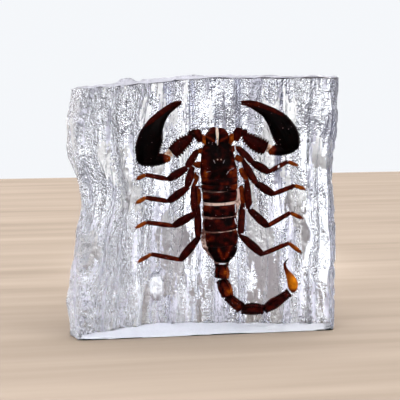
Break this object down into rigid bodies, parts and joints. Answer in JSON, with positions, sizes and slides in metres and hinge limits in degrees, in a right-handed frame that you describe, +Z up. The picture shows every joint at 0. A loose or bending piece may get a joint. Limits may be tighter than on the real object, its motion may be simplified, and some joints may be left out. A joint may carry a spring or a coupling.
{
  "type": "scorpion in resin block",
  "caption": "Dried scorpion with raised claws and curled sting, cast upright in a rough-hewn block of clear resin with a polished flat front and a flat base.",
  "frame": {"origin": "middle of the block's box, on the flat base it stands on", "axes": "+Z up, the polished front face looks towards -Y, +X to the right of a viewer who faces it"},
  "size_m": [0.1054, 0.0326, 0.1],
  "materials": {
    "scorpion": "dark mahogany horn, amber at the sting and the back plates",
    "resin": "clear cast resin, polished in front, hewn at the sides and back, frosted on top and below"
  },
  "bodies": {
    "root": {"scorpion": "scorpion", "resin_front": "resin", "resin_back": "resin"}
  },
  "joints": []
}
